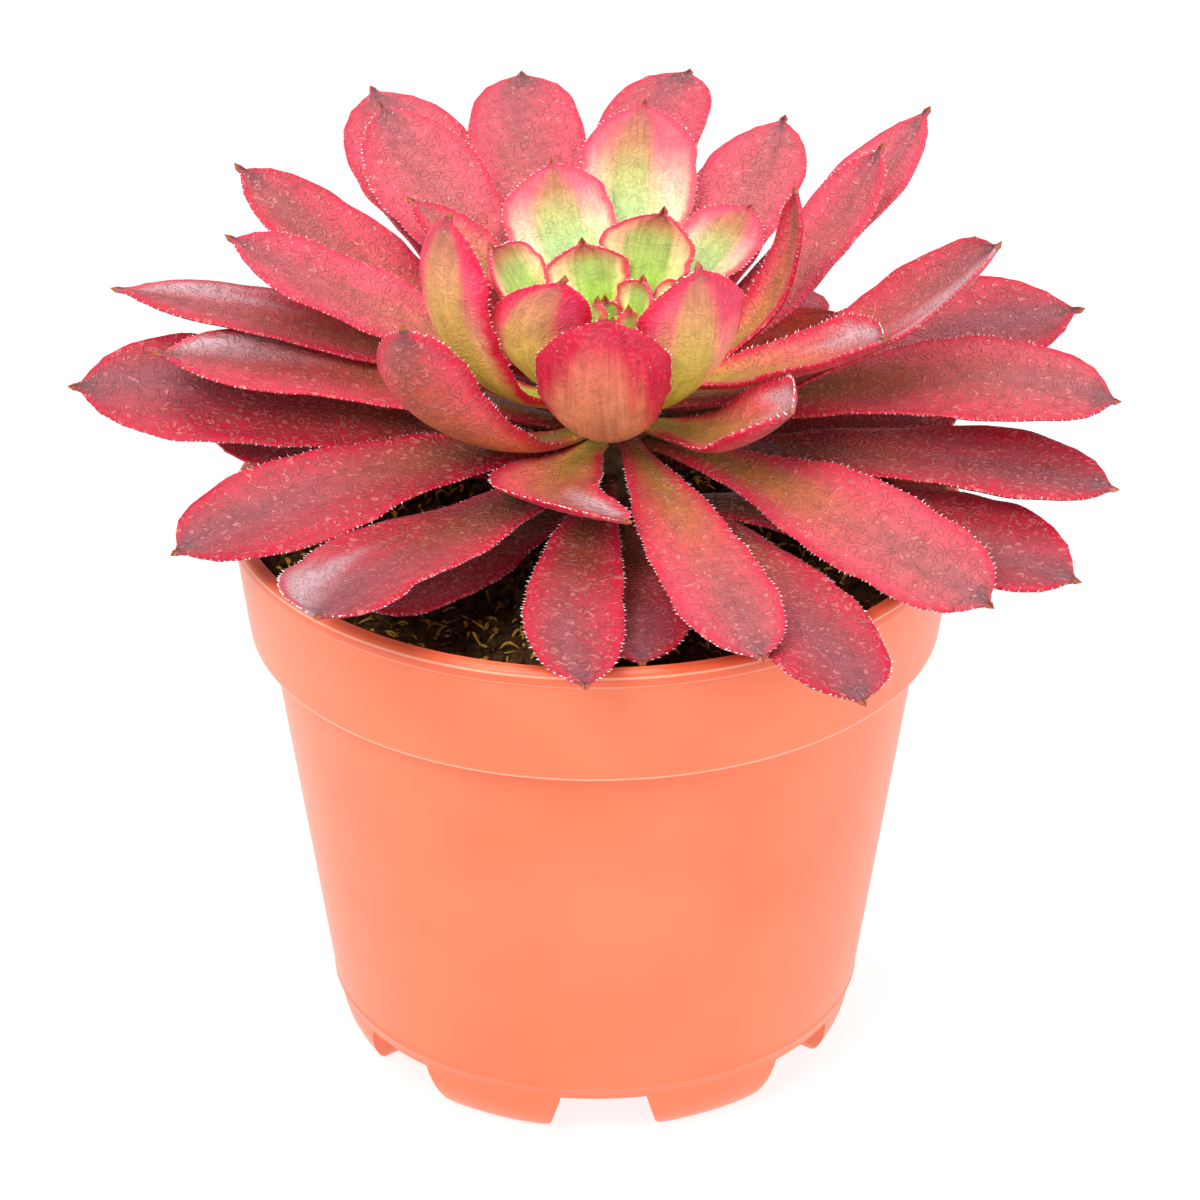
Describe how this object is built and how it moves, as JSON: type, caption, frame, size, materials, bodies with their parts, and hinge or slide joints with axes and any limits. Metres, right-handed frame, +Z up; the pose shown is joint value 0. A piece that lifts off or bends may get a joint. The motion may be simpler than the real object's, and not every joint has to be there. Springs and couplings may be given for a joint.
{
  "type": "potted aeonium",
  "caption": "Variegated red and green succulent rosette on a short stem, growing in soil in a round footed plastic nursery pot.",
  "frame": {"origin": "middle of the whole object's footprint, on the surface that the pot's feet stand on", "axes": "+Z up; the front of the plant faces -Y; +X is to the right seen from the front"},
  "size_m": [0.1958, 0.1826, 0.1788],
  "materials": {
    "pot_plastic": "satin moulded terracotta-coloured plastic",
    "soil": "dark damp potting soil with fibres",
    "stem_skin": "dull brown succulent bark",
    "leaf_red": "fleshy waxy leaf, red with a brighter red margin and an olive base",
    "leaf_mixed": "fleshy waxy leaf, pink and red margin round a green to orange middle",
    "leaf_green": "fleshy waxy young leaf, green middle, cream and pink margin"
  },
  "bodies": {
    "root": {"pot": "pot_plastic", "soil": "soil", "stem": "stem_skin", "leaf_front_1": "leaf_red", "leaf_front_2": "leaf_red", "leaf_left_1": "leaf_red", "leaf_right_1": "leaf_red", "leaf_front_3": "leaf_red", "leaf_right_2": "leaf_red", "leaf_front_4": "leaf_red", "leaf_front_5": "leaf_red", "leaf_left_3": "leaf_red", "leaf_right_3": "leaf_red", "leaf_left_2": "leaf_red", "leaf_right_9": "leaf_red", "leaf_right_6": "leaf_red", "leaf_right_4": "leaf_red", "leaf_right_5": "leaf_red", "leaf_front_6": "leaf_red", "leaf_left_5": "leaf_red", "leaf_left_4": "leaf_red", "leaf_back_3": "leaf_red", "leaf_back_1": "leaf_red", "leaf_back_4": "leaf_red", "leaf_right_7": "leaf_red", "leaf_back_2": "leaf_red", "leaf_back_5": "leaf_red", "leaf_left_6": "leaf_red", "leaf_back_6": "leaf_red", "leaf_left_7": "leaf_red", "leaf_back_7": "leaf_mixed", "leaf_back_8": "leaf_green", "leaf_back_11": "leaf_mixed", "leaf_back_12": "leaf_mixed", "leaf_back_10": "leaf_mixed", "leaf_back_9": "leaf_green", "leaf_right_8": "leaf_red", "leaf_right_10": "leaf_red", "leaf_left_8": "leaf_red", "leaf_front_7": "leaf_red", "leaf_left_10": "leaf_mixed", "leaf_heart_1": "leaf_red", "leaf_heart_2": "leaf_mixed", "leaf_heart_3": "leaf_mixed", "leaf_heart_4": "leaf_green", "leaf_heart_5": "leaf_green", "leaf_heart_6": "leaf_green", "leaf_back_13": "leaf_red", "leaf_back_14": "leaf_red", "leaf_back_15": "leaf_red", "leaf_back_16": "leaf_red", "heart": "leaf_green"}
  },
  "joints": []
}
